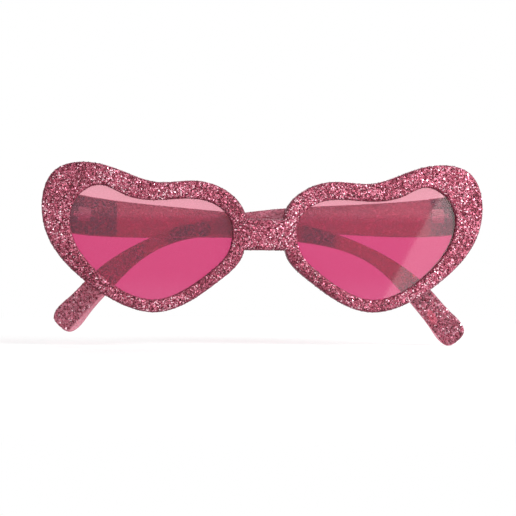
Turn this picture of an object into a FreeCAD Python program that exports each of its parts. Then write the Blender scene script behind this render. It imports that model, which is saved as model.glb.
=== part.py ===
"""Heart-shaped glitter sunglasses, lying folded.

Millimetres. X runs along the front to the viewer's right, Y from the front's face to the back, Z up.
The origin is the middle of the bridge, on the front's face.
Each side is modelled on the right, and the left one is its mirror image with its own droop and fold.
"""
import FreeCAD
import Part
import math
import os

Vector = FreeCAD.Vector

# Lens openings, boxed as an optician measures them
LENS_WIDTH = 54.1
LENS_HEIGHT = 38.0
LENS_DROP = 21.75
BRIDGE_WIDTH = 21.4

# Width of the rim round each opening
RIM_NOSE = 4.7
RIM_LOBE = 5.6
RIM_BROW = 6.0
RIM_TOP = 7.0
RIM_CORNER = 11.3
RIM_SIDE = 9.0
RIM_FLANK = 6.5
RIM_CHEEK = 5.0
RIM_FOOT = 4.2

# Moulded front
FRONT_DEPTH = 4.2
RIM_ROUND = 1.2
OPENING_ROUND = 0.8
BACK_ROUND = 0.4

# Bridge bar between the rims
BRIDGE_HEIGHT = 10.5
BRIDGE_ROUND = 1.6
BRIDGE_BURIED = 2.4

# Nose pads moulded on the back of the rims
PAD_LENGTH = 12.0
PAD_WIDTH = 3.6
PAD_DEPTH = 4.5
PAD_LEAN = 1.5
PAD_TAPER = 0.55
PAD_X = 13.0
PAD_DROP = 10.5
PAD_SLANT = 48.0

# Lenses, sprung into a groove inside each rim
LENS_THICKNESS = 1.2
LENS_SETBACK = 1.5
GROOVE_DEPTH = 0.9
LENS_FACE_PLAY = 0.05
LENS_EDGE_PLAY = 0.15

# Barrel hinge: a leaf sunk in the rim, and a leaf sunk in the temple
HINGE_INSET = 1.3
HINGE_HEIGHT = 6.9
AXIS_BEHIND_FRONT = 2.2
AXIS_INSIDE_TEMPLE = 0.4
BARREL_RADIUS = 1.15
KNUCKLE_HEIGHT = 1.5
KNUCKLE_GAP = 0.06
WEB_INNER = 0.8
WEB_OUTER = 1.0
LEAF_THICKNESS = 0.8
FRONT_LEAF_START = 0.3
FRONT_LEAF_END = 6.4
TEMPLE_LEAF_END = 5.6
TANG_DEPTH = 0.6
TANG_LENGTH = 2.2
TANG_HEIGHT = 2.4
LEAF_PLAY = 0.02
BARREL_ROOM = 0.3

# Hinge screws
SCREW_RADIUS = 0.6
SCREW_FIXED_PLAY = 0.02
SCREW_RUNNING_PLAY = 0.05
SCREW_HEAD_RADIUS = 1.0
SCREW_HEAD_HEIGHT = 0.6
SCREW_SLOT_WIDTH = 0.3
SCREW_SLOT_DEPTH = 0.25

# Temples, measured along their centre line from the hinge axis
TEMPLE_STRAIGHT = 74.6
TEMPLE_BEND_RADIUS = 64.0
TEMPLE_BEND_ANGLE = 45.0
TEMPLE_TAIL = 18.8
TEMPLE_THICKNESS = 2.6
TIP_THICKNESS = 2.0
HINGE_END_HEIGHT = 13.5
BEND_HEIGHT = 6.4
EAR_HEIGHT = 4.9
EAR_PLACE = 0.58
TAIL_HEIGHT = 8.2
TIP_HEIGHT = 9.6
TIP_ROUND = 4.0
TIP_SHOULDER = 0.24
TEMPLE_ROUND = 0.7
BUTT_PLAY = 0.08

# How the temples lie when folded: the left one inside, the right one over it
LEFT_DROOP = 4.6
RIGHT_DROOP = 2.6
LEFT_FOLD = -0.9
STACK_GAP = 0.25
STACK_REACH = 36.0

# The opening's outline: shares of its width from the nose and of its height, and the rim's width there
HEART = [
    (0.000, 0.597, RIM_NOSE),
    (0.043, 0.766, RIM_LOBE),
    (0.174, 0.871, RIM_BROW),
    (0.255, 0.886, RIM_BROW),
    (0.468, 0.871, RIM_BROW),
    (0.669, 0.918, RIM_TOP),
    (0.819, 1.000, RIM_TOP),
    (0.939, 0.921, RIM_CORNER),
    (1.000, 0.703, RIM_SIDE),
    (0.952, 0.453, RIM_FLANK),
    (0.837, 0.250, RIM_CHEEK),
    (0.671, 0.074, RIM_FOOT),
    (0.468, 0.000, RIM_FOOT),
    (0.301, 0.082, RIM_FOOT),
    (0.135, 0.247, RIM_FOOT),
    (0.024, 0.418, RIM_NOSE),
]

ORIGIN = Vector(0, 0, 0)
X_AXIS = Vector(1, 0, 0)
Y_AXIS = Vector(0, 1, 0)
Z_AXIS = Vector(0, 0, 1)
PAST = 1.0  # how far a cut runs past the face that it opens
SAME = 1e-4  # two places closer than this are one

OPENING_EDGE = BRIDGE_WIDTH / 2 + LENS_WIDTH
HINGE = Vector(OPENING_EDGE - HINGE_INSET, FRONT_DEPTH + AXIS_BEHIND_FRONT, HINGE_HEIGHT)
KNUCKLES = 3
BARREL_HALF = (KNUCKLES * KNUCKLE_HEIGHT + (KNUCKLES - 1) * KNUCKLE_GAP) / 2
BUTT = AXIS_BEHIND_FRONT - BUTT_PLAY
INNER_FACE = AXIS_INSIDE_TEMPLE
BEND_LENGTH = TEMPLE_BEND_RADIUS * math.radians(TEMPLE_BEND_ANGLE)
TEMPLE_LENGTH = TEMPLE_STRAIGHT + BEND_LENGTH + TEMPLE_TAIL
HOOK_DISTANCE = 2 * HINGE.x - STACK_REACH
HOOK_ADVANCE = HOOK_DISTANCE * math.sin(math.radians(-LEFT_FOLD))
HOOK_THICKNESS = TEMPLE_THICKNESS - (TEMPLE_THICKNESS - TIP_THICKNESS) * HOOK_DISTANCE / TEMPLE_LENGTH
RIGHT_FOLD = math.degrees(math.asin((HOOK_THICKNESS + STACK_GAP - HOOK_ADVANCE) / STACK_REACH))


def block(low, high):
    """A box between two corners."""
    size = high - low
    return Part.makeBox(size.x, size.y, size.z, low)


def rod(radius, low, high):
    """An upright cylinder on the hinge axis."""
    return Part.makeCylinder(radius, high - low, Z_AXIS * low)


def prism(wire, front, depth):
    """A flat outline of the front's plane as a solid that starts at front and runs back by depth."""
    face = Part.Face(wire)
    face.translate(Y_AXIS * front)
    return face.extrude(Y_AXIS * depth)


def edges_at(shape, depth):
    """The edges that lie in the plane at one depth behind the front's face."""
    flat = [edge for edge in shape.Edges if edge.BoundBox.YLength < SAME]
    return [edge for edge in flat if abs(edge.BoundBox.YMin - depth) < SAME]


def mirrored(shape):
    """The left side's copy of a shape made for the right."""
    return shape.mirror(ORIGIN, X_AXIS)


def hung(shape, droop):
    """A hinge part moved from the origin to the right hinge, with the axis tilted by the droop."""
    placed = shape.copy()
    placed.rotate(ORIGIN, Y_AXIS, -droop)
    placed.translate(HINGE)
    return placed


def folded(shape, droop, fold):
    """A temple part turned open by the fold about the hinge axis, then hung at the hinge."""
    turned = shape.copy()
    turned.rotate(ORIGIN, Z_AXIS, -fold)
    return hung(turned, droop)


# Heart outlines

def smooth_loop(points):
    """A smooth closed curve through points."""
    curve = Part.BSplineCurve()
    curve.interpolate(Points=points, PeriodicFlag=True)
    return curve


def heart(growth):
    """The right opening's outline, moved outward at each point by its growth."""
    points = [
        Vector(BRIDGE_WIDTH / 2 + u * LENS_WIDTH, 0, v * LENS_HEIGHT - LENS_DROP) for u, v, _ in HEART
    ]
    curve = smooth_loop(points)
    grown = []
    for point, distance in zip(points, growth):
        tangent = Vector(*curve.tangent(curve.parameter(point))[0])
        outward = tangent.cross(Y_AXIS)
        grown.append(point + outward.normalize() * distance)
    return Part.Wire(smooth_loop(grown).toShape())


def even_heart(distance):
    """The right opening's outline, moved outward by one distance all round."""
    return heart([distance] * len(HEART))


# Moulded front

def rim():
    """The right rim: a rounded ring round the lens opening, with the lens groove inside it."""
    outside = prism(heart([width for _, _, width in HEART]), 0, FRONT_DEPTH)
    outside = outside.makeFillet(RIM_ROUND, edges_at(outside, 0))
    outside = outside.makeFillet(BACK_ROUND, edges_at(outside, FRONT_DEPTH))
    ring = outside.cut(prism(even_heart(0), -PAST, FRONT_DEPTH + 2 * PAST))
    ring = ring.makeFillet(OPENING_ROUND, [shortest(edges_at(ring, 0))])
    ring = ring.makeFillet(BACK_ROUND, [shortest(edges_at(ring, FRONT_DEPTH))])
    groove_width = LENS_THICKNESS + 2 * LENS_FACE_PLAY
    return ring.cut(prism(even_heart(GROOVE_DEPTH), LENS_SETBACK - LENS_FACE_PLAY, groove_width))


def shortest(edges):
    """The shortest of some edges: of a ring's two outlines, the inner one."""
    return min(edges, key=lambda edge: edge.Length)


def bridge():
    """The bar between the rims, flush with their faces and rounded along its top and foot."""
    reach = BRIDGE_WIDTH / 2 - RIM_NOSE + BRIDGE_BURIED
    half = BRIDGE_HEIGHT / 2
    bar = block(Vector(-reach, 0, -half), Vector(reach, FRONT_DEPTH, half))
    lengthwise = [edge for edge in bar.Edges if edge.BoundBox.XLength > reach]
    return bar.makeFillet(BRIDGE_ROUND, lengthwise)


def pad_section(share, depth, lean):
    """One oval of the right nose pad: its share of the full size, its depth, and its lean to the nose."""
    oval = Part.Ellipse(ORIGIN, share * PAD_LENGTH / 2, share * PAD_WIDTH / 2)
    wire = Part.Wire(oval.toShape())
    wire.rotate(ORIGIN, X_AXIS, 90)
    wire.rotate(ORIGIN, Y_AXIS, PAD_SLANT)
    wire.translate(Vector(PAD_X - lean, depth, -PAD_DROP))
    return wire


def nose_pad():
    """The right nose pad, which leans inward and narrows as it runs back from the rim."""
    back = FRONT_DEPTH + PAD_DEPTH
    root = pad_section(1, FRONT_DEPTH - BACK_ROUND - PAST, 0)
    foot = pad_section(1, FRONT_DEPTH, 0)
    end = pad_section(PAD_TAPER, back, PAD_LEAN)
    return Part.makeLoft([root, foot, end], True)


def front_frame():
    """Both rims, the bridge and the nose pads in one moulding, with pockets for the hinge leaves."""
    half = rim().fuse(nose_pad())
    moulding = half.fuse([mirrored(half), bridge()])
    pocket = front_leaf_plate(LEAF_PLAY)
    return moulding.cut([hung(pocket, RIGHT_DROOP), mirrored(hung(pocket, LEFT_DROOP))])


# Lenses

def lens():
    """The right lens, a flat sheet that reaches into the rim's groove."""
    return prism(even_heart(GROOVE_DEPTH - LENS_EDGE_PLAY), LENS_SETBACK, LENS_THICKNESS)


# Hinges, made at the origin with their axis upright

def knuckles(count):
    """Barrel knuckles, two outer ones or the middle one."""
    step = KNUCKLE_HEIGHT + KNUCKLE_GAP
    middles = {1: [0], 2: [-step, step]}[count]
    return [(z - KNUCKLE_HEIGHT / 2, z + KNUCKLE_HEIGHT / 2) for z in middles]


def front_leaf_plate(play):
    """The front leaf's sunk plate and the tang behind it, larger all round by the play."""
    face = -AXIS_BEHIND_FRONT
    plate = block(
        Vector(FRONT_LEAF_START - play, face - LEAF_THICKNESS - play, -BARREL_HALF - play),
        Vector(FRONT_LEAF_END + play, face, BARREL_HALF + play))
    middle = (FRONT_LEAF_START + FRONT_LEAF_END + WEB_OUTER) / 2
    length = TANG_LENGTH / 2 + play
    height = TANG_HEIGHT / 2 + play
    tang = block(
        Vector(middle - length, face - LEAF_THICKNESS - TANG_DEPTH - play, -height),
        Vector(middle + length, face - LEAF_THICKNESS, height))
    return plate.fuse(tang)


def front_leaf():
    """The leaf in the rim: a flush plate that carries the two outer knuckles on webs."""
    leaf = front_leaf_plate(0)
    for low, high in knuckles(2):
        web = block(Vector(-WEB_INNER, -AXIS_BEHIND_FRONT, low), Vector(WEB_OUTER, 0, high))
        leaf = leaf.fuse([web, rod(BARREL_RADIUS, low, high)])
    leaf = leaf.cut(rod(SCREW_RADIUS + SCREW_FIXED_PLAY, -BARREL_HALF - PAST, BARREL_HALF + PAST))
    return leaf.removeSplitter()


def temple_leaf_plate(start, play):
    """The temple leaf's sunk plate from start to its end, and its tang, larger all round by the play."""
    plate = block(
        Vector(-TEMPLE_LEAF_END - play, INNER_FACE, -BARREL_HALF - play),
        Vector(start, INNER_FACE + LEAF_THICKNESS + play, BARREL_HALF + play))
    middle = -(BARREL_RADIUS + BARREL_ROOM + TEMPLE_LEAF_END) / 2
    length = TANG_LENGTH / 2 + play
    height = TANG_HEIGHT / 2 + play
    back = INNER_FACE + LEAF_THICKNESS
    tang = block(
        Vector(middle - length, back, -height),
        Vector(middle + length, back + TANG_DEPTH + play, height))
    return plate.fuse(tang)


def temple_leaf():
    """The leaf in the temple: a flush plate that narrows to the middle knuckle."""
    leaf = temple_leaf_plate(-BARREL_RADIUS - BARREL_ROOM, 0)
    low, high = knuckles(1)[0]
    neck = block(
        Vector(-BARREL_RADIUS - BARREL_ROOM, INNER_FACE, low),
        Vector(0, INNER_FACE + LEAF_THICKNESS, high))
    leaf = leaf.fuse([neck, rod(BARREL_RADIUS, low, high)])
    leaf = leaf.cut(rod(SCREW_RADIUS + SCREW_RUNNING_PLAY, low - PAST, high + PAST))
    return leaf.removeSplitter()


def hinge_screw():
    """The screw on the hinge axis, its slotted head on the upper knuckle."""
    top = BARREL_HALF + SCREW_HEAD_HEIGHT
    screw = rod(SCREW_RADIUS, -BARREL_HALF, BARREL_HALF).fuse(rod(SCREW_HEAD_RADIUS, BARREL_HALF, top))
    slot = block(
        Vector(-SCREW_HEAD_RADIUS - PAST, -SCREW_SLOT_WIDTH / 2, top - SCREW_SLOT_DEPTH),
        Vector(SCREW_HEAD_RADIUS + PAST, SCREW_SLOT_WIDTH / 2, top + PAST))
    return screw.cut(slot).removeSplitter()


# Temples, made at the origin, running toward -X with the hinge axis upright

def centre_line(distance):
    """The place on a temple's centre line at a distance from the hinge, and the upward normal there."""
    along = min(max(distance - TEMPLE_STRAIGHT, 0), BEND_LENGTH)
    angle = along / TEMPLE_BEND_RADIUS
    tail = max(distance - TEMPLE_STRAIGHT - BEND_LENGTH, 0)
    run = min(distance, TEMPLE_STRAIGHT) + TEMPLE_BEND_RADIUS * math.sin(angle) + tail * math.cos(angle)
    fall = TEMPLE_BEND_RADIUS * (1 - math.cos(angle)) + tail * math.sin(angle)
    return Vector(-run, 0, -fall), Vector(-math.sin(angle), 0, math.cos(angle))


def temple_side():
    """The temple's outline from the side: a long taper, a bend slimmest over the ear, a paddle tip."""
    bend_end = TEMPLE_STRAIGHT + BEND_LENGTH
    stations = [
        (-BUTT, HINGE_END_HEIGHT),
        (TEMPLE_STRAIGHT / 2, (HINGE_END_HEIGHT + BEND_HEIGHT) / 2),
        (TEMPLE_STRAIGHT, BEND_HEIGHT),
        (TEMPLE_STRAIGHT + BEND_LENGTH * EAR_PLACE, EAR_HEIGHT),
        (bend_end, TAIL_HEIGHT),
        (bend_end + TEMPLE_TAIL / 2, (TAIL_HEIGHT + TIP_HEIGHT) / 2),
        (TEMPLE_LENGTH - TIP_ROUND, TIP_HEIGHT),
        (TEMPLE_LENGTH - TIP_ROUND * TIP_SHOULDER, TIP_HEIGHT * (1 - TIP_SHOULDER)),
    ]
    upper = []
    lower = []
    for distance, height in stations:
        place, normal = centre_line(distance)
        upper.append(place + normal * (height / 2))
        lower.append(place - normal * (height / 2))
    tip = centre_line(TEMPLE_LENGTH)[0]
    curve = Part.BSplineCurve()
    curve.interpolate(upper + [tip] + lower[::-1])
    return Part.Wire([curve.toShape(), Part.makeLine(lower[0], upper[0])])


def temple_plan():
    """The temple seen from above: a flat inner face and an outer face that tapers to the tip."""
    reach = TEMPLE_LENGTH + PAST
    corners = [
        Vector(BUTT, INNER_FACE, 0),
        Vector(BUTT, INNER_FACE + TEMPLE_THICKNESS, 0),
        Vector(-reach, INNER_FACE + TIP_THICKNESS, 0),
        Vector(-reach, INNER_FACE, 0),
    ]
    face = Part.Face(Part.makePolygon(corners + corners[:1]))
    face.translate(Z_AXIS * -TEMPLE_LENGTH)
    return face.extrude(Z_AXIS * 2 * TEMPLE_LENGTH)


def temple():
    """A moulded temple with rounded edges, a notch for the barrel and a pocket for its leaf."""
    side = prism(temple_side(), 0, INNER_FACE + TEMPLE_THICKNESS + PAST)
    arm = side.common(temple_plan())
    longest = sorted(arm.Edges, key=lambda edge: edge.Length)[-2:]
    arm = arm.makeFillet(TEMPLE_ROUND, longest)
    room = BARREL_RADIUS + BARREL_ROOM
    notch = block(
        Vector(-room, INNER_FACE - PAST, -BARREL_HALF - BARREL_ROOM),
        Vector(BUTT + PAST, room, BARREL_HALF + SCREW_HEAD_HEIGHT + BARREL_ROOM))
    return arm.cut([notch, temple_leaf_plate(0, LEAF_PLAY)])


def build():
    """Every piece of the sunglasses, by name."""
    pieces = {
        "front_frame": front_frame(),
        "right_lens": lens(),
        "left_lens": mirrored(lens()),
    }
    for side, droop, fold in [("right", RIGHT_DROOP, RIGHT_FOLD), ("left", LEFT_DROOP, LEFT_FOLD)]:
        hinge_set = {
            side + "_front_hinge_leaf": hung(front_leaf(), droop),
            side + "_hinge_screw": hung(hinge_screw(), droop),
            side + "_temple": folded(temple(), droop, fold),
            side + "_temple_hinge_leaf": folded(temple_leaf(), droop, fold),
        }
        for name, shape in hinge_set.items():
            pieces[name] = mirrored(shape) if side == "left" else shape
    return pieces


def main():
    """Write each piece to its own file."""
    os.makedirs("parts", exist_ok=True)
    for name, shape in build().items():
        shape.exportStep(os.path.join("parts", name + ".step"))
        print(name, shape.isValid(), len(shape.Solids), round(shape.Volume, 2))


main()
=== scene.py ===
"""Dresses the folded heart-shaped sunglasses: glitter coat, tinted lenses, steel hinges and a white stage."""
import math

import bmesh
import bpy
from bpy.props import FloatProperty, FloatVectorProperty, IntProperty, PointerProperty
from mathutils import Matrix, Vector


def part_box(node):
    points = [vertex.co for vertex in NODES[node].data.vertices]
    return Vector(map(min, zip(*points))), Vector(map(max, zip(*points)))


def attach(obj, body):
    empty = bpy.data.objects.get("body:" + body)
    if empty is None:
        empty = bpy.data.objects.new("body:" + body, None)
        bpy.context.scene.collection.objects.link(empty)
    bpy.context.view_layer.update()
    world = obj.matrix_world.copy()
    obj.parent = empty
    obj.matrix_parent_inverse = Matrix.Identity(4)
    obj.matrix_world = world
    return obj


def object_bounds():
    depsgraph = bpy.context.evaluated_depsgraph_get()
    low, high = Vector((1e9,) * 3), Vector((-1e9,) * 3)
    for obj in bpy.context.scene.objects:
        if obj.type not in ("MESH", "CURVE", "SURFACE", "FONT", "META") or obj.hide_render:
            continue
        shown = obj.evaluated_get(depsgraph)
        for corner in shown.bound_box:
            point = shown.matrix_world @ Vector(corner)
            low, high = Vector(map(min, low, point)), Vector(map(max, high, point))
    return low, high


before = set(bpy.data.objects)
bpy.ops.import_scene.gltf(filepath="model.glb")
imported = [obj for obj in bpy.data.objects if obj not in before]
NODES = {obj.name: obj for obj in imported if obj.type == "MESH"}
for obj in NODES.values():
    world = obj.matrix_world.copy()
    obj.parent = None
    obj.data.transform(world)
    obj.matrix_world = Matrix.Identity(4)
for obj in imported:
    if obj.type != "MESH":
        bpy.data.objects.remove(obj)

bl_info = {
    "name": "Heart Glitter Sunglasses",
    "version": (1, 0, 0),
    "blender": (4, 5, 0),
    "location": "3D View > Sidebar > Sunglasses",
    "description": "Finishes a packed pair of heart-shaped sunglasses and stages it on white",
    "category": "Object",
}

# What the frame gives

CAD_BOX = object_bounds()
SIDES = ("left", "right")
HINGE_NODES = ("front_hinge_leaf", "hinge_screw", "temple_hinge_leaf")
HINGE_X = {side: sum(corner[0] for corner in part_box(side + "_hinge_screw")) / 2 for side in SIDES}

# Foils, palest first: their names, roughness and the tone at which each one starts

FOILS = ("silver", "blush", "rose", "raspberry", "plum")
FOIL_ROUGHNESS = (0.16, 0.22, 0.26, 0.30, 0.34)
FRONT_STARTS = (0.95, 0.81, 0.52, 0.25, 0.0)
TEMPLE_STARTS = (0.96, 0.84, 0.55, 0.28, 0.0)

# A tone above all others, and how much brighter the temples' foils are

ANY_TONE = 10.0
TEMPLE_FOIL_SHADE = 1.15

# Flakes: their sides, least and most size for a radius of 1, seeds, and the clouds of pale and dark ones

FLAKE_SIDES = 6
FLAKE_SIZES = (0.6, 1.35)
SIZE_SEED = 3
TONE_SEED = 11
TONE_NAME = "foil"
CLOUDS = {"Scale": 45.0, "Detail": 1.0}
CLOUD_MIDDLE = 0.5

# Where flakes lie: distances in metres, shares of the settings, and limits for a face's normal

MERGE_DISTANCE = 1e-7
FRONT_CLEARANCE = 0.0004
TEMPLE_CLEARANCE = 0.0012
EDGE_DENSITY = 0.2
TEMPLE_RADIUS = 0.9
TEMPLE_TILT = 0.6
FRONT_FACE = 0.8
TEMPLE_FACE = 0.6
END_FACE = 0.985

# Gloss of foil and plastic, and the plastic's grains: number per metre, roughness (range, least) and bump

FOIL_GLOSS = {"Metallic": 0.55, "Specular_IOR_Level": 0.5}
FRONT_GLOSS = {"Metallic": 0.05, "Specular_IOR_Level": 0.06}
TEMPLE_GLOSS = {"Metallic": 0.15, "Specular_IOR_Level": 0.2, "Coat_Weight": 0.08, "Coat_Roughness": 0.15}
FRONT_GRAINS = 2600.0
TEMPLE_GRAINS = 1700.0
GRAIN_ROUGHNESS = (0.3, 0.22)
GRAIN_BUMP = {"Strength": 0.35, "Distance": 0.0001}

# From where to where a normal's part makes a face an edge, or an inner, lower or upper face; painted shade
# darkens the edges (with their clear plastic), the inner zones and the upper faces, painted light makes the
# lower faces paler

CLEAR_SHADED_EDGE_NORMAL = (0.9, 0.6)
INNER_NORMAL = (-0.7, -0.95)
LIT_LOWER_NORMAL = (-0.4, -0.9)
SHADED_UPPER_NORMAL = (0.4, 0.9)

# How zones on the temples fade, among them the painted shade at the hinge block, the bend and the left patch:
# lengths in metres, a patch's reach and blunt ends, a share of a rim's height

BLOCK_FADE = 0.0004
BEND_FADE = 0.004
ZONE_FADE = 0.002
PATCH_FADE = (1.15, 0.75)
PATCH_BLUNTNESS = 4.0
RIM_FADE = 0.7

# Lenses: the faces that share the haze, and how steeply the gloss grows towards a view from the side

LENS_FACES = 2
GRAZING_POWER = 5.0

# Drawn lines in the steel: lines per metre, detail, bump, range of roughness and (tone, shade) stops

STEEL_LINES = (250.0, 900.0, 2600.0)
STEEL_DETAIL = 4.0
STEEL_BUMP = {"Strength": 0.3, "Distance": 0.00003}
STEEL_ROUGHNESS = 0.3
STEEL_SHADES = ((0.3, 0.55), (0.7, 1.35))

# Stage in metres, watts and degrees, the sensor in millimetres; shadows fade out at so many times their reach

WHITE = (1.0, 1.0, 1.0)
FLOOR_COLOUR = (0.86, 0.86, 0.86)
FLOOR_HALF = 3.0
SHADOW_FADE = 2.0
SENSOR_WIDTH = 36.0
CLIP_START = 0.01
LAMP_AIM = (0.0, 0.0, -0.006)
LAMPS = {
    "key": {"place": (0.33, -0.27, 0.20), "size": (0.26, 0.26), "power": 2.45},
    "fill": {"place": (-0.55, -0.75, 0.45), "size": (0.5, 0.5), "power": 1.6},
    "back": {"place": (0.1, 0.8, 0.6), "size": (0.7, 0.5), "power": 4.0},
    "right_card": {
        "place": (0.217, -0.6, -0.031), "aim": (0.217, 0.0, -0.031), "size": (0.12, 0.2), "power": 0.22,
        "lean": -29.0, "colour": (0.75, 1.0, 0.88)},
}


class GlitterSettings(bpy.types.PropertyGroup):
    """Flakes, their foils and the front's plastic."""

    flake_radius: FloatProperty(
        name="Flake Radius", description="Middle radius of a glitter flake", default=0.00026, unit="LENGTH")
    tilt: FloatProperty(
        name="Tilt", description="Most that a flake leans from the surface", default=0.36, subtype="ANGLE")
    lift: FloatProperty(
        name="Lift", description="Height of a flake's middle over the plastic", default=0.00003,
        unit="LENGTH")
    front_density: FloatProperty(
        name="Front Density", description="Flakes per square metre on the front", default=5.6e6)
    temple_density: FloatProperty(
        name="Temple Density", description="Flakes per square metre on a temple's outside", default=3.4e6)
    inside_share: FloatProperty(
        name="Inside Share", description="Share of the temple's flakes on the inner face of its tail",
        default=0.3, subtype="FACTOR")
    middle_share: FloatProperty(
        name="Middle Share", description="Share of those flakes on the rest of the inner face",
        default=0.0, subtype="FACTOR")
    hinge_clear: FloatProperty(
        name="Hinge Clear", description="Bare end of a temple, where it meets the front's hinge leaf",
        default=0.002, unit="LENGTH")
    drift: FloatProperty(
        name="Drift", description="How far pale and dark flakes gather in clouds", default=1.3)
    drift_place: FloatProperty(
        name="Drift Place", description="Which of the random clouds is used", default=14.0)
    seed: IntProperty(name="Seed", description="Seed of the scatter", default=7)
    silver: FloatVectorProperty(
        name="Silver", description="Palest foil", default=(0.93, 0.58, 0.66), subtype="COLOR")
    blush: FloatVectorProperty(
        name="Blush", description="Pale pink foil", default=(0.65, 0.22, 0.305), subtype="COLOR")
    rose: FloatVectorProperty(
        name="Rose", description="Middle pink foil", default=(0.41, 0.084, 0.136), subtype="COLOR")
    raspberry: FloatVectorProperty(
        name="Raspberry", description="Deep pink foil", default=(0.205, 0.027, 0.051), subtype="COLOR")
    plum: FloatVectorProperty(
        name="Plum", description="Darkest foil", default=(0.065, 0.008, 0.015), subtype="COLOR")
    # The edge colour is the deep clear plastic without glitter, darkened as painted shade on faces turned
    # away from the front
    edge: FloatVectorProperty(
        name="Edge", description="Clear plastic round the front's edges", default=(0.17, 0.030, 0.055),
        subtype="COLOR")
    edge_clear_shade_share: FloatProperty(
        name="Edge Share", description="Share of clear plastic round the front's edges", default=0.72,
        subtype="FACTOR")


class TempleSettings(bpy.types.PropertyGroup):
    """The temples' plastic and the zones on it, placed along a temple from its hinge; the dark zones are
    painted shade.
    """

    body: FloatVectorProperty(
        name="Body", description="Smooth plastic", default=(0.70, 0.24, 0.33), subtype="COLOR")
    smooth_contrast: FloatProperty(
        name="Smooth Contrast", description="Contrast of the grains in the smooth plastic", default=0.45,
        subtype="FACTOR")
    clearness: FloatProperty(
        name="Clearness", description="Share of light that passes one face", default=0.5, subtype="FACTOR")
    tint: FloatVectorProperty(
        name="Tint", description="Colour of the light that passes one face", default=(0.92, 0.58, 0.66),
        subtype="COLOR")
    depth: FloatProperty(
        name="Depth", description="Share of light that spreads under the surface", default=0.4,
        subtype="FACTOR")
    depth_colour: FloatVectorProperty(
        name="Depth Colour", description="How far each colour spreads", default=(1.0, 0.45, 0.55),
        subtype="COLOR")
    depth_reach: FloatProperty(
        name="Depth Reach", description="How far light spreads under the surface", default=0.0012,
        unit="LENGTH")
    # Painted shade: the dark zones are darker, less clear glitter where a temple lies in the front's shade
    # and where the temples overlap
    painted_shade_tone: FloatVectorProperty(
        name="Dark Tone", description="Contrast and brightness of the grains in the dark zones",
        default=(0.95, 0.50), size=2)
    painted_shade_cover: FloatProperty(
        name="Dark Cover", description="Share of the clearness that the dark zones take away", default=0.8,
        subtype="FACTOR")
    # The patch is painted shade where the right temple lies behind the left one
    patch: FloatVectorProperty(
        name="Patch", description="Place along the left temple, height, half length, half height and slant "
        "of its dark glitter patch", default=(0.0384, 0.0006, 0.0075, 0.0030, 0.45), size=5)
    streak: FloatVectorProperty(
        name="Streak", description="The same for the smooth streak on the left temple's tail",
        default=(0.121, -0.0275, 0.0016, 0.0020, -0.75), size=5)
    streak_colour: FloatVectorProperty(
        name="Streak Colour", description="Plastic in the smooth streak", default=(0.50, 0.085, 0.135),
        subtype="COLOR")
    # The hinge block and the bend are painted shade zones
    left_zones: FloatVectorProperty(
        name="Left Zones", description="End of the dark hinge block, and start and end of the dark bend, "
        "along the left temple", default=(0.0144, 0.074, 0.089), unit="LENGTH")
    right_zones: FloatVectorProperty(
        name="Right Zones", description="The same along the right temple", default=(0.006, 0.081, 0.096),
        unit="LENGTH")
    left_tail: FloatProperty(
        name="Left Tail", description="Start of the glittered tail along the left temple", default=0.109,
        unit="LENGTH")
    right_tail: FloatProperty(
        name="Right Tail", description="The same along the right temple", default=0.1017, unit="LENGTH")
    # The rim is clear plastic without glitter, painted paler as light from below; it also colours every face
    # turned downwards
    rim: FloatVectorProperty(
        name="Rim", description="Clear plastic along the lower edge", default=(0.80, 0.38, 0.46),
        subtype="COLOR")
    left_rim: FloatVectorProperty(
        name="Left Rim", description="Clear rim along the left tail's lower edge: its start along the "
        "temple, the edge's height there, its slope and the rim's height",
        default=(0.112, -0.0212, -1.25, 0.0008), size=4)
    right_rim: FloatVectorProperty(
        name="Right Rim", description="The same along the right tail",
        default=(0.113, -0.0183, -1.094, 0.0031), size=4)
    # The two tails are one plastic; their grains' contrast and brightness differ as painted shade, the left
    # tail darkest
    left_tone: FloatVectorProperty(
        name="Left Tone", description="Contrast and brightness of the grains on the left tail",
        default=(1.0, 0.74), size=2)
    right_tone: FloatVectorProperty(
        name="Right Tone", description="The same on the right tail", default=(0.88, 0.90), size=2)


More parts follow.
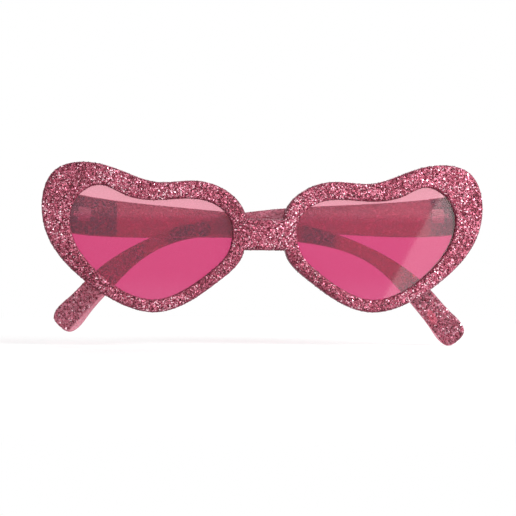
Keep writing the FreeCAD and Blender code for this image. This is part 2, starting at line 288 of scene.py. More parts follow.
class LensSettings(bpy.types.PropertyGroup):
    """Colours and polish of the tinted lenses; below the top the tint is deepened as painted shadow."""

    # The lens has one tint, the pale one; this deep tint is that tint darkened as painted shadow, standing
    # for the lens's own tinted shadow seen through it
    painted_shadow_tint: FloatVectorProperty(
        name="Deep Tint", description="Light that one face of the lens lets through",
        default=(0.80, 0.185, 0.41), subtype="COLOR")
    pale_tint: FloatVectorProperty(
        name="Pale Tint", description="Light that one face lets through along the top",
        default=(0.92, 0.60, 0.66), subtype="COLOR")
    # The low tint is that painted shadow easing off towards the bottom
    low_painted_shadow_tint: FloatVectorProperty(
        name="Low Tint", description="Light that one face lets through along the bottom",
        default=(0.815, 0.25, 0.45), subtype="COLOR")
    low_edge: FloatProperty(
        name="Low Edge", description="Height of the lens's bottom", default=-0.022, unit="LENGTH")
    low_fade: FloatProperty(
        name="Low Fade", description="Height at which the bottom's tint ends", default=-0.012, unit="LENGTH")
    # Heights where the painted shadow ends and where the plain pale tint is reached
    fade_low: FloatProperty(
        name="Fade Low", description="Height at which the deep tint ends", default=0.0035, unit="LENGTH")
    fade_high: FloatProperty(
        name="Fade High", description="Height at which the tint is palest", default=0.0078, unit="LENGTH")
    haze: FloatProperty(
        name="Haze", description="Share of light that the plastic scatters", default=0.125, subtype="FACTOR")
    haze_colour: FloatVectorProperty(
        name="Haze Colour", description="Colour of the scattered light", default=(0.85, 0.335, 0.54),
        subtype="COLOR")
    gloss: FloatProperty(
        name="Gloss", description="Share of light that a face mirrors, seen straight on", default=0.036,
        subtype="FACTOR")
    grazing_gloss: FloatProperty(
        name="Grazing Gloss", description="Share that is added where a face is seen from its side",
        default=0.9, subtype="FACTOR")
    roughness: FloatProperty(
        name="Roughness", description="Roughness of the polished face", default=0.03, subtype="FACTOR")


class HingeSettings(bpy.types.PropertyGroup):
    """Finish of the steel hinges; the front's leaf and the screw are the same plating darkened as painted
    shade.
    """

    steel: FloatVectorProperty(
        name="Steel", description="Colour of the plated steel", default=(0.42, 0.41, 0.42), subtype="COLOR")
    # The leaf is the plating darkened as painted shade in the hinge
    leaf: FloatVectorProperty(
        name="Leaf", description="Colour of the front's leaf", default=(0.13, 0.12, 0.13), subtype="COLOR")
    # The screw's near-black is the plating darkened as painted shade in the hinge
    screw: FloatVectorProperty(
        name="Screw", description="Colour of the burnished screw", default=(0.06, 0.055, 0.06),
        subtype="COLOR")
    roughness: FloatProperty(
        name="Roughness", description="Middle roughness of the plating", default=0.28, subtype="FACTOR")


class StageSettings(bpy.types.PropertyGroup):
    """Camera, light from all round and ground."""

    distance: FloatProperty(
        name="Distance", description="From the camera to the point it looks at", default=0.6, unit="LENGTH")
    turn: FloatProperty(
        name="Turn", description="How far the camera stands to the left", default=math.radians(6.0),
        subtype="ANGLE")
    roll: FloatProperty(
        name="Roll", description="Turn of the camera about its own view", default=math.radians(0.255),
        subtype="ANGLE")
    aim: FloatVectorProperty(
        name="Aim", description="Point in the middle of the picture", default=(-0.00236, 0.0, -0.0078),
        subtype="XYZ")
    focal_length: FloatProperty(
        name="Focal Length", description="For a 36 mm wide sensor", default=125.6, unit="CAMERA")
    world_light: FloatProperty(
        name="World Light", description="Light from all round", default=0.4)
    floor_lift: FloatProperty(
        name="Floor Lift", description="Brightness added to the lit floor near the object", default=0.25)
    shadow_share: FloatProperty(
        name="Shadow Share", description="How strong the floor's shadows show", default=0.5, subtype="FACTOR")
    shadow_reach: FloatProperty(
        name="Shadow Reach", description="Radius of the floor that shows shadows", default=0.16,
        unit="LENGTH")


# Node helpers

def fill(tree, socket, value):
    """Link a socket to another one, or set it; a colour is three numbers."""
    if isinstance(value, bpy.types.NodeSocket):
        tree.links.new(value, socket)
    elif socket.type == "RGBA":
        socket.default_value = (*value, 1.0)
    else:
        socket.default_value = value


def add_node(tree, kind, modes=None, **inputs):
    """A new node with its modes set and its inputs filled by name; underscores stand for spaces."""
    node = tree.nodes.new(kind)
    for name, value in (modes or {}).items():
        setattr(node, name, value)
    for name, value in inputs.items():
        fill(tree, node.inputs[name.replace("_", " ")], value)
    return node


def math_node(tree, operation, *operands):
    """The result of a Math node; each operand is a socket or a number."""
    node = add_node(tree, "ShaderNodeMath", {"operation": operation})
    for socket, value in zip(node.inputs, operands):
        fill(tree, socket, value)
    return node.outputs[0]


def axis_parts(tree, vector):
    """The X, Y and Z of a vector."""
    return add_node(tree, "ShaderNodeSeparateXYZ", Vector=vector).outputs


def object_axis(tree, output, axis):
    """One axis of a Texture Coordinate output."""
    place = tree.nodes.new("ShaderNodeTexCoord")
    return axis_parts(tree, place.outputs[output])[axis]


def scaled(tree, vector, factor):
    """A vector times a number."""
    node = add_node(tree, "ShaderNodeVectorMath", {"operation": "SCALE"}, Vector=vector, Scale=factor)
    return node.outputs["Vector"]


def step_between(tree, value, low, high, least=0.0):
    """least at low, 1 at high and smooth between them; low may lie above high."""
    node = add_node(
        tree, "ShaderNodeMapRange", {"interpolation_type": "SMOOTHSTEP"}, Value=value, From_Min=low,
        From_Max=high, To_Min=least)
    return node.outputs["Result"]


def mix_colour(tree, factor, first, second):
    """Two colours mixed by a socket; each is a socket or a plain colour."""
    node = add_node(tree, "ShaderNodeMix", {"data_type": "RGBA"})
    # A Mix node has sockets for each kind of value, and these are the ones for colours
    for number, value in ((0, factor), (6, first), (7, second)):
        fill(tree, node.inputs[number], value)
    return node.outputs[2]


def mix_shader(tree, factor, first, second):
    """Two shaders mixed by a socket or a number."""
    node = tree.nodes.new("ShaderNodeMixShader")
    for socket, value in zip(node.inputs, (factor, first, second)):
        fill(tree, socket, value)
    return node.outputs["Shader"]


def ramp(tree, factor, stops, interpolation="LINEAR"):
    """A colour ramp through (position, colour) stops."""
    node = add_node(tree, "ShaderNodeValToRGB", Fac=factor)
    node.color_ramp.interpolation = interpolation
    elements = node.color_ramp.elements
    while len(elements) < len(stops):
        elements.new(0.5)
    for element, (position, colour) in zip(elements, stops):
        element.position = position
        element.color = (*colour, 1.0)
    return node.outputs["Color"]


def principled(tree, **inputs):
    """The output of a principled shader."""
    return add_node(tree, "ShaderNodeBsdfPrincipled", **inputs).outputs["BSDF"]


def new_material(name):
    """An empty node material, its tree and the socket of its surface."""
    material = bpy.data.materials.new(name)
    material.use_nodes = True
    tree = material.node_tree
    tree.nodes.clear()
    return material, tree, tree.nodes.new("ShaderNodeOutputMaterial").inputs["Surface"]


# Finishes

def foil_material(name, colour, roughness):
    """One colour of metallised foil."""
    material, tree, surface = new_material("foil_" + name)
    fill(tree, surface, principled(tree, Base_Color=colour, Roughness=roughness, **FOIL_GLOSS))
    return material


def foil_set(glitter, piece, starts, shade=1.0):
    """(upper tone, material) for each foil, palest first, so that each darker one overrules it."""
    foils = []
    for foil, limit, roughness in zip(FOILS, (ANY_TONE, *starts), FOIL_ROUGHNESS):
        colour = [shade * part for part in getattr(glitter, foil)]
        foils.append((limit, foil_material(piece + "_" + foil, colour, roughness)))
    return foils


def grain_tones(tree, fineness):
    """Three random tones for each glitter grain in the plastic."""
    place = tree.nodes.new("ShaderNodeTexCoord")
    grains = add_node(tree, "ShaderNodeTexVoronoi", Vector=place.outputs["Object"], Scale=fineness)
    return add_node(tree, "ShaderNodeSeparateColor", Color=grains.outputs["Color"]).outputs


def grain_colour(tree, tone, glitter, body, contrast=1.0, shade=1.0):
    """The foils' colours, picked by a tone; contrast 1 keeps them, 0 leaves the plastic's own colour."""
    stops = []
    for foil, start in zip(reversed(FOILS), reversed(FRONT_STARTS)):
        colour = Vector(body).lerp(Vector(getattr(glitter, foil)), contrast)
        stops.append((start, colour * shade))
    return ramp(tree, tone, stops, "CONSTANT")


def glitter_shader(tree, tones, colour, **inputs):
    """Plastic whose grains differ in roughness and height."""
    bump = add_node(tree, "ShaderNodeBump", Height=tones["Blue"], **GRAIN_BUMP)
    rough = math_node(tree, "MULTIPLY_ADD", tones["Green"], *GRAIN_ROUGHNESS)
    return principled(tree, Base_Color=colour, Roughness=rough, Normal=bump.outputs["Normal"], **inputs)


def front_plastic(glitter):
    """The front's plastic: glitter grains on its faces, deep clear pink round its edges, darkened there as
    painted shade.
    """
    material, tree, surface = new_material("front_plastic")
    tones = grain_tones(tree, FRONT_GRAINS)
    grains = grain_colour(tree, tones["Red"], glitter, glitter.edge)
    facing = math_node(tree, "ABSOLUTE", object_axis(tree, "Normal", "Y"))
    # Faces turned away from the front take the clear edge plastic, darkened as painted shade
    edge = math_node(tree, "MULTIPLY", step_between(tree, facing, *CLEAR_SHADED_EDGE_NORMAL), glitter.edge_clear_shade_share)
    colour = mix_colour(tree, edge, grains, glitter.edge)
    fill(tree, surface, glitter_shader(tree, tones, colour, **FRONT_GLOSS))
    return material


def slanting_patch(tree, run, place):
    """1 inside a slanting rounded patch on a temple, 0 well outside it."""
    middle, height, half_length, half_height, slant = place
    along = math_node(tree, "DIVIDE", math_node(tree, "SUBTRACT", run, middle), half_length)
    rise = math_node(tree, "SUBTRACT", object_axis(tree, "Object", "Z"), height)
    level = math_node(tree, "DIVIDE", rise, half_height)
    level = math_node(tree, "SUBTRACT", level, math_node(tree, "MULTIPLY", along, slant))
    ends = math_node(tree, "POWER", along, PATCH_BLUNTNESS)
    reach = math_node(tree, "ADD", ends, math_node(tree, "MULTIPLY", level, level))
    return step_between(tree, reach, *PATCH_FADE)


def tail_rim(tree, run, place):
    """1 in the clear rim along the lower edge of a temple's tail, painted paler as light from below; 0 above
    it.
    """
    start, edge_height, slope, rim_height = place
    fall = math_node(tree, "MULTIPLY", math_node(tree, "SUBTRACT", run, start), slope)
    height = math_node(tree, "SUBTRACT", object_axis(tree, "Object", "Z"), edge_height)
    low = step_between(tree, math_node(tree, "SUBTRACT", height, fall), rim_height, rim_height * RIM_FADE)
    return math_node(tree, "MULTIPLY", low, step_between(tree, run, start, start + ZONE_FADE))


def painted_shade_zones(tree, side, run, temple):
    """1 in the painted shade on a temple's inner face, dark glitter standing for shade: by its hinge, at its
    bend, in the left one's patch.
    """
    block_end, bend_start, bend_end = getattr(temple, side + "_zones")
    block = step_between(tree, run, block_end, block_end - BLOCK_FADE)
    bend_from = step_between(tree, run, bend_start, bend_start + BEND_FADE)
    bend_to = step_between(tree, run, bend_end, bend_end - ZONE_FADE)
    dark = math_node(tree, "MAXIMUM", block, math_node(tree, "MULTIPLY", bend_from, bend_to))
    if side == "left":
        dark = math_node(tree, "MAXIMUM", dark, slanting_patch(tree, run, temple.patch))
    inner = step_between(tree, object_axis(tree, "Normal", "Y"), *INNER_NORMAL)
    return math_node(tree, "MULTIPLY", dark, inner)


def temple_colour(tree, side, run, tone, temple, glitter):
    """A temple's colour outside its painted shade zones: smooth, then a glittered tail, with a clear rim
    below painted paler as light from below, and upper faces darkened as painted shade.
    """
    smooth = grain_colour(tree, tone, glitter, temple.body, temple.smooth_contrast)
    # Each tail's own contrast and brightness is painted shade
    glittered = grain_colour(tree, tone, glitter, temple.body, *getattr(temple, side + "_tone"))
    tail_start = getattr(temple, side + "_tail")
    in_tail = step_between(tree, run, tail_start, tail_start + ZONE_FADE)
    colour = mix_colour(tree, in_tail, smooth, glittered)
    if side == "left":
        colour = mix_colour(tree, slanting_patch(tree, run, temple.streak), colour, temple.streak_colour)
    upright = object_axis(tree, "Normal", "Z")
    # Faces turned downwards and the tail's lower rim take the rim colour: clear plastic painted paler as
    # light from below
    lit_lower_edge = step_between(tree, upright, *LIT_LOWER_NORMAL)
    clear_lit_rim = math_node(tree, "MAXIMUM", tail_rim(tree, run, getattr(temple, side + "_rim")), lit_lower_edge)
    colour = mix_colour(tree, clear_lit_rim, colour, temple.rim)
    # Faces turned upwards are darkened to raspberry as painted shade
    return mix_colour(tree, step_between(tree, upright, *SHADED_UPPER_NORMAL), colour, glitter.raspberry)


def temple_plastic(side, temple, glitter):
    """A temple's see-through pink plastic, smooth inside; its darker, less clear glitter at its hinge and
    bend, and in the left one's patch, is painted shade.
    """
    material, tree, surface = new_material(side + "_temple_plastic")
    tones = grain_tones(tree, TEMPLE_GRAINS)
    from_hinge = math_node(tree, "SUBTRACT", object_axis(tree, "Object", "X"), HINGE_X[side])
    run = math_node(tree, "ABSOLUTE", from_hinge)
    # Painted shade: in the dark zones the grains are darker, less light spreads under the surface and less
    # light passes
    dark = painted_shade_zones(tree, side, run, temple)
    light = temple_colour(tree, side, run, tones["Red"], temple, glitter)
    shadowed = grain_colour(tree, tones["Red"], glitter, glitter.plum, *temple.painted_shade_tone)
    depth = math_node(tree, "MULTIPLY_ADD", dark, -temple.depth, temple.depth)
    solid = glitter_shader(
        tree, tones, mix_colour(tree, dark, light, shadowed), Subsurface_Weight=depth,
        Subsurface_Radius=temple.depth_colour, Subsurface_Scale=temple.depth_reach, **TEMPLE_GLOSS)
    clear = add_node(tree, "ShaderNodeBsdfTransparent", Color=temple.tint)
    covered = temple.clearness * temple.painted_shade_cover
    cover = math_node(tree, "MULTIPLY_ADD", dark, covered, 1.0 - temple.clearness)
    fill(tree, surface, mix_shader(tree, cover, clear.outputs["BSDF"], solid))
    return material


def lens_material(lens):
    """Clear pink plastic, polished on both faces; below its top strip the tint deepens as painted shadow,
    easing off towards the bottom.
    """
    material, tree, surface = new_material("tinted_lens")
    height = add_node(
        tree, "ShaderNodeMapRange", Value=object_axis(tree, "Object", "Z"), From_Min=lens.low_edge,
        From_Max=lens.fade_high)
    reach = lens.fade_high - lens.low_edge
    # Painted shadow: the deep tint over the middle, easing to the low tint at the bottom and to the plain
    # pale tint at the top
    stops = [
        (0.0, lens.low_painted_shadow_tint), ((lens.low_fade - lens.low_edge) / reach, lens.painted_shadow_tint),
        ((lens.fade_low - lens.low_edge) / reach, lens.painted_shadow_tint), (1.0, lens.pale_tint)]
    tint = ramp(tree, height.outputs["Result"], stops, "EASE")
    clear = add_node(tree, "ShaderNodeBsdfTransparent", Color=tint)
    milky = add_node(tree, "ShaderNodeBsdfDiffuse", Color=lens.haze_colour)
    body = mix_shader(tree, lens.haze / LENS_FACES, clear.outputs["BSDF"], milky.outputs["BSDF"])
    facing = tree.nodes.new("ShaderNodeLayerWeight").outputs["Facing"]
    grazing = math_node(tree, "POWER", facing, GRAZING_POWER)
    gloss = math_node(tree, "MULTIPLY_ADD", grazing, lens.grazing_gloss, lens.gloss)
    polish = add_node(tree, "ShaderNodeBsdfGlossy", Roughness=lens.roughness)
    fill(tree, surface, mix_shader(tree, gloss, body, polish.outputs["BSDF"]))
    return material


def steel_material(name, colour, roughness):
    """Plated steel with fine drawn lines."""
    material, tree, surface = new_material(name)
    place = tree.nodes.new("ShaderNodeTexCoord")
    drawn = add_node(tree, "ShaderNodeMapping", Vector=place.outputs["Object"], Scale=STEEL_LINES)
    noise = add_node(
        tree, "ShaderNodeTexNoise", Vector=drawn.outputs["Vector"], Scale=1.0, Detail=STEEL_DETAIL)
    lines = noise.outputs["Fac"]
    shades = [(tone, Vector(colour) * shade) for tone, shade in STEEL_SHADES]
    rough = math_node(tree, "MULTIPLY_ADD", lines, STEEL_ROUGHNESS, roughness - STEEL_ROUGHNESS / 2)
    bump = add_node(tree, "ShaderNodeBump", Height=lines, **STEEL_BUMP)
    shader = principled(
        tree, Base_Color=ramp(tree, lines, shades), Metallic=1.0, Roughness=rough,
        Normal=bump.outputs["Normal"])
    fill(tree, surface, shader)
    return material


def paint(node, material):
    """Give a CAD node one material."""
    mesh = NODES[node].data
    mesh.materials.clear()
    mesh.materials.append(material)


# Glitter scatter

RIM_INPUTS = ("Rim Start", "Rim Edge", "Rim Slope", "Rim Height")
SCATTER_INPUTS = (
    ("Geometry", "NodeSocketGeometry"),
    ("Keep Clear", "NodeSocketObject"),
    ("Clearance", "NodeSocketFloat"),
    ("Facing Density", "NodeSocketFloat"),
    ("Edge Density", "NodeSocketFloat"),
    ("Rear Density", "NodeSocketFloat"),
    ("Hinge X", "NodeSocketFloat"),
    ("Hinge Clear", "NodeSocketFloat"),
    ("Tail Start", "NodeSocketFloat"),
    *((name, "NodeSocketFloat") for name in RIM_INPUTS),
    ("Middle Share", "NodeSocketFloat"),
    ("Face Limit", "NodeSocketFloat"),
    ("Flake Radius", "NodeSocketFloat"),
    ("Tilt", "NodeSocketFloat"),
    ("Lift", "NodeSocketFloat"),
    ("Drift", "NodeSocketFloat"),
    ("Drift Place", "NodeSocketFloat"),
    ("Seed", "NodeSocketInt"),
)


def run_from_hinge(tree, given, place):
    """Distance along a temple from its hinge; 0 everywhere on a piece without one."""
    from_hinge = math_node(tree, "SUBTRACT", given["Hinge X"], place["X"])
    return math_node(tree, "MULTIPLY", from_hinge, math_node(tree, "SIGN", given["Hinge X"]))


def flake_density(tree, given, run):
    """Flakes per square metre, by the way that a face looks; none on the ends and close to the neighbours."""
    normal = tree.nodes.new("GeometryNodeInputNormal")
    on_face = add_node(
        tree, "GeometryNodeFieldOnDomain", {"data_type": "FLOAT_VECTOR", "domain": "FACE"},
        Value=normal.outputs["Normal"])
    way = axis_parts(tree, on_face.outputs["Value"])
    to_rear = math_node(tree, "GREATER_THAN", way["Y"], given["Face Limit"])
    turned = math_node(tree, "MULTIPLY", way["Y"], -1.0)
    to_viewer = math_node(tree, "GREATER_THAN", turned, given["Face Limit"])
    in_tail = math_node(tree, "GREATER_THAN", run, given["Tail Start"])
    share = math_node(tree, "MAXIMUM", in_tail, given["Middle Share"])
    facing = math_node(tree, "MULTIPLY", given["Facing Density"], share)
    front = math_node(tree, "MULTIPLY", to_viewer, facing)
    rear = math_node(tree, "MULTIPLY", to_rear, given["Rear Density"])
    on_edge = math_node(tree, "SUBTRACT", 1.0, math_node(tree, "ADD", to_viewer, to_rear))
    edge = math_node(tree, "MULTIPLY", on_edge, given["Edge Density"])
    density = math_node(tree, "ADD", math_node(tree, "ADD", front, rear), edge)
    off_end = math_node(tree, "LESS_THAN", math_node(tree, "ABSOLUTE", way["X"]), END_FACE)
    density = math_node(tree, "MULTIPLY", density, off_end)
    neighbours = add_node(tree, "GeometryNodeObjectInfo", Object=given["Keep Clear"])
    near = tree.nodes.new("GeometryNodeProximity")
    fill(tree, near.inputs[0], neighbours.outputs["Geometry"])
    free = math_node(tree, "GREATER_THAN", near.outputs["Distance"], given["Clearance"])
    return math_node(tree, "MULTIPLY", density, free)


def bare_places(tree, given, place, run):
    """1 by the hinge and in the clear rim under the tail, where no flakes lie."""
    past = math_node(tree, "SUBTRACT", run, given["Rim Start"])
    height = math_node(tree, "SUBTRACT", place["Z"], given["Rim Edge"])
    height = math_node(tree, "SUBTRACT", height, math_node(tree, "MULTIPLY", past, given["Rim Slope"]))
    low = math_node(tree, "LESS_THAN", height, given["Rim Height"])
    in_rim = math_node(tree, "MULTIPLY", math_node(tree, "GREATER_THAN", past, 0.0), low)
    by_hinge = math_node(tree, "LESS_THAN", run, given["Hinge Clear"])
    return math_node(tree, "MAXIMUM", by_hinge, in_rim)


def random_number(tree, low, high, seed):
    """A random number for each flake."""
    node = add_node(tree, "FunctionNodeRandomValue", {"data_type": "FLOAT"}, Seed=seed)
    node.inputs[2].default_value = low
    node.inputs[3].default_value = high
    return node.outputs[1]


def foil_tone(tree, given):
    """The random tone that picks a flake's foil, shifted by clouds of paler and darker flakes."""
    cloud = add_node(
        tree, "ShaderNodeTexNoise", {"noise_dimensions": "4D"}, W=given["Drift Place"], **CLOUDS)
    swing = math_node(tree, "SUBTRACT", cloud.outputs[0], CLOUD_MIDDLE)
    drift = math_node(tree, "MULTIPLY", swing, given["Drift"])
    return math_node(tree, "ADD", random_number(tree, 0.0, 1.0, TONE_SEED), drift)


def flake_turn(tree, given, upright):
    """A flake's rotation: any turn in its own plane, and a small lean from the surface."""
    turns = add_node(tree, "ShaderNodeCombineXYZ", X=given["Tilt"], Y=given["Tilt"], Z=math.pi)
    most = turns.outputs["Vector"]
    lean = add_node(tree, "FunctionNodeRandomValue", {"data_type": "FLOAT_VECTOR"})
    fill(tree, lean.inputs[0], scaled(tree, most, -1.0))
    fill(tree, lean.inputs[1], most)
    turn = add_node(tree, "FunctionNodeEulerToRotation", Euler=lean.outputs[0])
    aligned = add_node(
        tree, "FunctionNodeRotateRotation", {"rotation_space": "LOCAL"}, Rotation=upright,
        Rotate_By=turn.outputs["Rotation"])
    return aligned.outputs["Rotation"]


def scatter_tree(foils):
    """A node tree that scatters six-sided flakes over a surface and gives each one of the foils."""
    tree = bpy.data.node_groups.new("glitter_scatter", "GeometryNodeTree")
    for name, kind in SCATTER_INPUTS:
        tree.interface.new_socket(name, in_out="INPUT", socket_type=kind)
    tree.interface.new_socket("Geometry", in_out="OUTPUT", socket_type="NodeSocketGeometry")
    given = tree.nodes.new("NodeGroupInput").outputs
    place = axis_parts(tree, tree.nodes.new("GeometryNodeInputPosition").outputs["Position"])
    run = run_from_hinge(tree, given, place)

    spread = add_node(
        tree, "GeometryNodeDistributePointsOnFaces", Mesh=given["Geometry"],
        Density=flake_density(tree, given, run), Seed=given["Seed"])
    lifted = add_node(
        tree, "GeometryNodeSetPosition", Geometry=spread.outputs["Points"],
        Offset=scaled(tree, spread.outputs["Normal"], given["Lift"]))
    trimmed = add_node(
        tree, "GeometryNodeDeleteGeometry", Geometry=lifted.outputs["Geometry"],
        Selection=bare_places(tree, given, place, run))
    toned = add_node(
        tree, "GeometryNodeStoreNamedAttribute", {"data_type": "FLOAT", "domain": "POINT"},
        Geometry=trimmed.outputs["Geometry"], Name=TONE_NAME, Value=foil_tone(tree, given))

    flake = add_node(tree, "GeometryNodeMeshCircle", {"fill_type": "NGON"}, Vertices=FLAKE_SIDES, Radius=1.0)
    size = math_node(tree, "MULTIPLY", random_number(tree, *FLAKE_SIZES, SIZE_SEED), given["Flake Radius"])
    placed = add_node(
        tree, "GeometryNodeInstanceOnPoints", Points=toned.outputs["Geometry"],
        Instance=flake.outputs["Mesh"], Scale=size,
        Rotation=flake_turn(tree, given, spread.outputs["Rotation"]))
    real = add_node(tree, "GeometryNodeRealizeInstances", Geometry=placed.outputs["Instances"])

    tone = add_node(tree, "GeometryNodeInputNamedAttribute", {"data_type": "FLOAT"}, Name=TONE_NAME)
    flakes = real.outputs["Geometry"]
    for limit, material in foils:
        chosen = math_node(tree, "LESS_THAN", tone.outputs["Attribute"], limit)
        coated = add_node(
            tree, "GeometryNodeSetMaterial", Geometry=flakes, Selection=chosen, Material=material)
        flakes = coated.outputs["Geometry"]
    add_node(tree, "NodeGroupOutput", Geometry=flakes)
    return tree


def merged_copy(name, nodes):
    """A new object with the merged meshes of some CAD nodes."""
    mesh = bpy.data.meshes.new(name)
    shape = bmesh.new()
    for node in nodes:
        shape.from_mesh(NODES[node].data)
    bmesh.ops.remove_doubles(shape, verts=shape.verts, dist=MERGE_DISTANCE)
    shape.to_mesh(mesh)
    shape.free()
    copy = bpy.data.objects.new(name, mesh)
    bpy.context.scene.collection.objects.link(copy)
    return copy


def drop(thing):
    """Remove an object and its mesh."""
    mesh = thing.data
    bpy.data.objects.remove(thing)
    bpy.data.meshes.remove(mesh)


def flake_values(glitter):
    """The scatter's inputs that are alike on the front and the temples."""
    return {
        "Flake Radius": glitter.flake_radius, "Tilt": glitter.tilt, "Lift": glitter.lift,
        "Drift": glitter.drift, "Drift Place": glitter.drift_place, "Seed": glitter.seed}


def scatter_glitter(name, node, neighbours, tree, values):
    """The glitter flakes of one CAD node as a plain mesh object; scatter inputs without a value stay 0."""
    ground = merged_copy(name + "_ground", [node])
    clear = merged_copy(name + "_clear", neighbours)
    given = {**values, "Keep Clear": clear}
    scatter = ground.modifiers.new("glitter", "NODES")
    scatter.node_group = tree
    for socket in tree.interface.items_tree:
        if socket.in_out == "INPUT" and socket.name in given:
            scatter[socket.identifier] = given[socket.name]
    depsgraph = bpy.context.evaluated_depsgraph_get()
    mesh = bpy.data.meshes.new_from_object(ground.evaluated_get(depsgraph))
    ground.modifiers.remove(scatter)
    mesh.name = name
    glitter = bpy.data.objects.new(name, mesh)
    bpy.context.scene.collection.objects.link(glitter)
    drop(ground)
    drop(clear)
    if not mesh.polygons:
        raise RuntimeError("no flakes were scattered on " + node)
    print(name, len(mesh.polygons), "flakes")
    return glitter


# Stage

def seen_rays(tree):
    """1 for a ray of the camera, a reflection or a view through something, else 0."""
    path = tree.nodes.new("ShaderNodeLightPath").outputs
    seen = math_node(tree, "MAXIMUM", path["Is Camera Ray"], path["Is Glossy Ray"])
    return math_node(tree, "MAXIMUM", seen, path["Is Transmission Ray"])


def white_world(strength):
    """White to look at, and a soft light on the object."""
    world = bpy.data.worlds.new("white_studio")
    world.use_nodes = True
    tree = world.node_tree
    tree.nodes.clear()
    level = math_node(tree, "MULTIPLY_ADD", seen_rays(tree), 1.0 - strength, strength)
    glow = add_node(tree, "ShaderNodeBackground", Color=WHITE, Strength=level)
    add_node(tree, "ShaderNodeOutputWorld", Surface=glow.outputs["Background"])
    bpy.context.scene.world = world


def floor_material(stage):
    """Pale and matt near the object, where it takes the shadow, and plain white further off."""
    material, tree, surface = new_material("pale_floor")
    seen = seen_rays(tree)
    matt = add_node(tree, "ShaderNodeBsdfDiffuse", Color=FLOOR_COLOUR)
    lift = add_node(
        tree, "ShaderNodeEmission", Color=WHITE, Strength=math_node(tree, "MULTIPLY", seen, stage.floor_lift))
    near = tree.nodes.new("ShaderNodeAddShader")
    fill(tree, near.inputs[0], matt.outputs["BSDF"])
    fill(tree, near.inputs[1], lift.outputs["Emission"])
    white = add_node(tree, "ShaderNodeEmission", Color=WHITE, Strength=1.0)
    place = tree.nodes.new("ShaderNodeTexCoord")
    reach = add_node(tree, "ShaderNodeVectorMath", {"operation": "LENGTH"}, Vector=place.outputs["Object"])
    far = step_between(
        tree, reach.outputs["Value"], stage.shadow_reach, stage.shadow_reach * SHADOW_FADE,
        1.0 - stage.shadow_share)
    plain = math_node(tree, "MULTIPLY", seen, far)
    fill(tree, surface, mix_shader(tree, plain, near.outputs["Shader"], white.outputs["Emission"]))
    return material


def pale_ground(height, stage):
    """A wide floor under the object."""
    mesh = bpy.data.meshes.new("floor")
    corners = [(x * FLOOR_HALF, y * FLOOR_HALF, height) for x, y in ((-1, -1), (1, -1), (1, 1), (-1, 1))]
    mesh.from_pydata(corners, [], [(0, 1, 2, 3)])
    mesh.materials.append(floor_material(stage))
    floor = bpy.data.objects.new("floor", mesh)
    bpy.context.scene.collection.objects.link(floor)


def soft_lamp(name, place, size, power, aim=LAMP_AIM, lean=0.0, colour=WHITE):
    """A rectangular lamp that faces a point, leaning in its own plane."""
    lamp = bpy.data.lights.new(name, "AREA")
    lamp.shape = "RECTANGLE"
    lamp.size, lamp.size_y = size
    lamp.energy = power
    lamp.color = colour
    thing = bpy.data.objects.new(name, lamp)
    facing = (Vector(aim) - Vector(place)).to_track_quat("-Z", "Y").to_matrix().to_4x4()
    thing.matrix_world = Matrix.Translation(place) @ facing @ Matrix.Rotation(math.radians(lean), 4, "Z")
    bpy.context.scene.collection.objects.link(thing)


def front_camera(stage):
    """The camera of the picture, level and almost straight in front."""
    view = bpy.data.cameras.new("camera")
    view.lens = stage.focal_length
    view.sensor_width = SENSOR_WIDTH
    view.clip_start = CLIP_START
    view.dof.use_dof = False
    camera = bpy.data.objects.new("camera", view)
    away = Vector((-math.sin(stage.turn), -math.cos(stage.turn), 0.0))
    look = (-away).to_track_quat("-Z", "Y").to_matrix().to_4x4()
    stand = Matrix.Translation(Vector(stage.aim) + away * stage.distance)
    camera.matrix_world = stand @ look @ Matrix.Rotation(stage.roll, 4, "Z")
    bpy.context.scene.collection.objects.link(camera)
    bpy.context.scene.camera = camera


# Operators, one for each group of pieces and one for the stage

class SUNGLASSES_OT_front(bpy.types.Operator):
    """Coat the moulded front with glitter"""

    bl_idname = "sunglasses.front"
    bl_label = "Glitter Front"

    def execute(self, context):
        settings = context.scene.sunglasses_glitter
        paint("front_frame", front_plastic(settings))
        tree = scatter_tree(foil_set(settings, "front", FRONT_STARTS))
        neighbours = [side + "_" + piece for side in SIDES for piece in ("lens", "front_hinge_leaf")]
        values = {
            **flake_values(settings),
            "Clearance": FRONT_CLEARANCE,
            "Facing Density": settings.front_density,
            "Edge Density": settings.front_density * EDGE_DENSITY,
            "Face Limit": FRONT_FACE,
            "Middle Share": 1.0,
        }
        glitter = scatter_glitter("front_glitter", "front_frame", neighbours, tree, values)
        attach(glitter, "front")
        return {"FINISHED"}


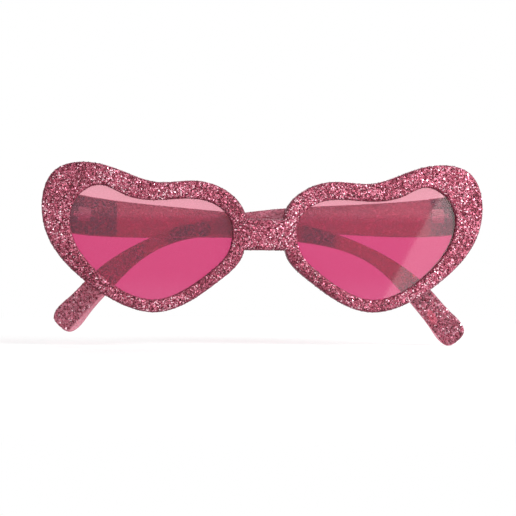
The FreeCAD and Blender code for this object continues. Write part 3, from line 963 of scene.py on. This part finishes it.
class SUNGLASSES_OT_temples(bpy.types.Operator):
    """Coat both temples with glitter"""

    bl_idname = "sunglasses.temples"
    bl_label = "Glitter Temples"

    def execute(self, context):
        settings = context.scene.sunglasses_glitter
        temple = context.scene.sunglasses_temple
        tree = scatter_tree(foil_set(settings, "temple", TEMPLE_STARTS, TEMPLE_FOIL_SHADE))
        values = {
            **flake_values(settings),
            "Clearance": TEMPLE_CLEARANCE,
            "Facing Density": settings.temple_density * settings.inside_share,
            "Edge Density": settings.temple_density * EDGE_DENSITY,
            "Rear Density": settings.temple_density,
            "Face Limit": TEMPLE_FACE,
            "Middle Share": settings.middle_share,
            "Hinge Clear": settings.hinge_clear,
            "Flake Radius": settings.flake_radius * TEMPLE_RADIUS,
            "Tilt": settings.tilt * TEMPLE_TILT,
        }
        for count, side in enumerate(SIDES, 1):
            paint(side + "_temple", temple_plastic(side, temple, settings))
            neighbours = [side + "_" + piece for piece in HINGE_NODES]
            values["Hinge X"] = HINGE_X[side]
            values["Tail Start"] = getattr(temple, side + "_tail")
            values.update(zip(RIM_INPUTS, getattr(temple, side + "_rim")))
            values["Seed"] = settings.seed + count
            glitter = scatter_glitter(side + "_temple_glitter", side + "_temple", neighbours, tree, values)
            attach(glitter, side + "_arm")
        return {"FINISHED"}


class SUNGLASSES_OT_lenses(bpy.types.Operator):
    """Tint both lenses"""

    bl_idname = "sunglasses.lenses"
    bl_label = "Tinted Lenses"

    def execute(self, context):
        material = lens_material(context.scene.sunglasses_lens)
        for side in SIDES:
            paint(side + "_lens", material)
        return {"FINISHED"}


class SUNGLASSES_OT_hinges(bpy.types.Operator):
    """Plate the hinge leaves and screws"""

    bl_idname = "sunglasses.hinges"
    bl_label = "Steel Hinges"

    def execute(self, context):
        settings = context.scene.sunglasses_hinge
        finishes = {
            "temple_hinge_leaf": steel_material("plated_steel", settings.steel, settings.roughness),
            # The front's leaf and the screw: the same steel darkened as painted shade
            "front_hinge_leaf": steel_material("shaded_steel", settings.leaf, settings.roughness),
            "hinge_screw": steel_material("burnished_steel", settings.screw, settings.roughness),
        }
        for side in SIDES:
            for piece, finish in finishes.items():
                paint(side + "_" + piece, finish)
        return {"FINISHED"}


class SUNGLASSES_OT_stage(bpy.types.Operator):
    """Set the camera, the lamps, the floor and the white world"""

    bl_idname = "sunglasses.stage"
    bl_label = "White Stage"

    def execute(self, context):
        settings = context.scene.sunglasses_stage
        context.scene.view_settings.view_transform = "Standard"
        white_world(settings.world_light)
        pale_ground(CAD_BOX[0][2], settings)
        front_camera(settings)
        for name, lamp in LAMPS.items():
            soft_lamp(name, **lamp)
        return {"FINISHED"}


class SUNGLASSES_PT_panel(bpy.types.Panel):
    """Lists the steps and their settings"""

    bl_idname = "SUNGLASSES_PT_panel"
    bl_label = "Heart Glitter Sunglasses"
    bl_space_type = "VIEW_3D"
    bl_region_type = "UI"
    bl_category = "Sunglasses"

    def draw(self, context):
        for group in GROUPS:
            settings = getattr(context.scene, group)
            box = self.layout.box()
            for name in settings.bl_rna.properties.keys():
                if name not in {"rna_type", "name"}:
                    box.prop(settings, name)
        for operator in STEPS:
            self.layout.operator(operator.bl_idname)


STEPS = (
    SUNGLASSES_OT_front, SUNGLASSES_OT_temples, SUNGLASSES_OT_lenses, SUNGLASSES_OT_hinges,
    SUNGLASSES_OT_stage)
GROUPS = {
    "sunglasses_glitter": GlitterSettings,
    "sunglasses_temple": TempleSettings,
    "sunglasses_lens": LensSettings,
    "sunglasses_hinge": HingeSettings,
    "sunglasses_stage": StageSettings,
}
CLASSES = (*GROUPS.values(), *STEPS, SUNGLASSES_PT_panel)


def register():
    """Add the classes and the scene's settings."""
    for each in CLASSES:
        bpy.utils.register_class(each)
    for name, group in GROUPS.items():
        setattr(bpy.types.Scene, name, PointerProperty(type=group))


def unregister():
    """Take the settings and the classes out again."""
    for name in GROUPS:
        delattr(bpy.types.Scene, name)
    for each in reversed(CLASSES):
        bpy.utils.unregister_class(each)


def main():
    """Dress and stage the sunglasses."""
    register()
    bpy.ops.sunglasses.front()
    bpy.ops.sunglasses.temples()
    bpy.ops.sunglasses.lenses()
    bpy.ops.sunglasses.hinges()
    bpy.ops.sunglasses.stage()


if __name__ == "__main__":
    main()
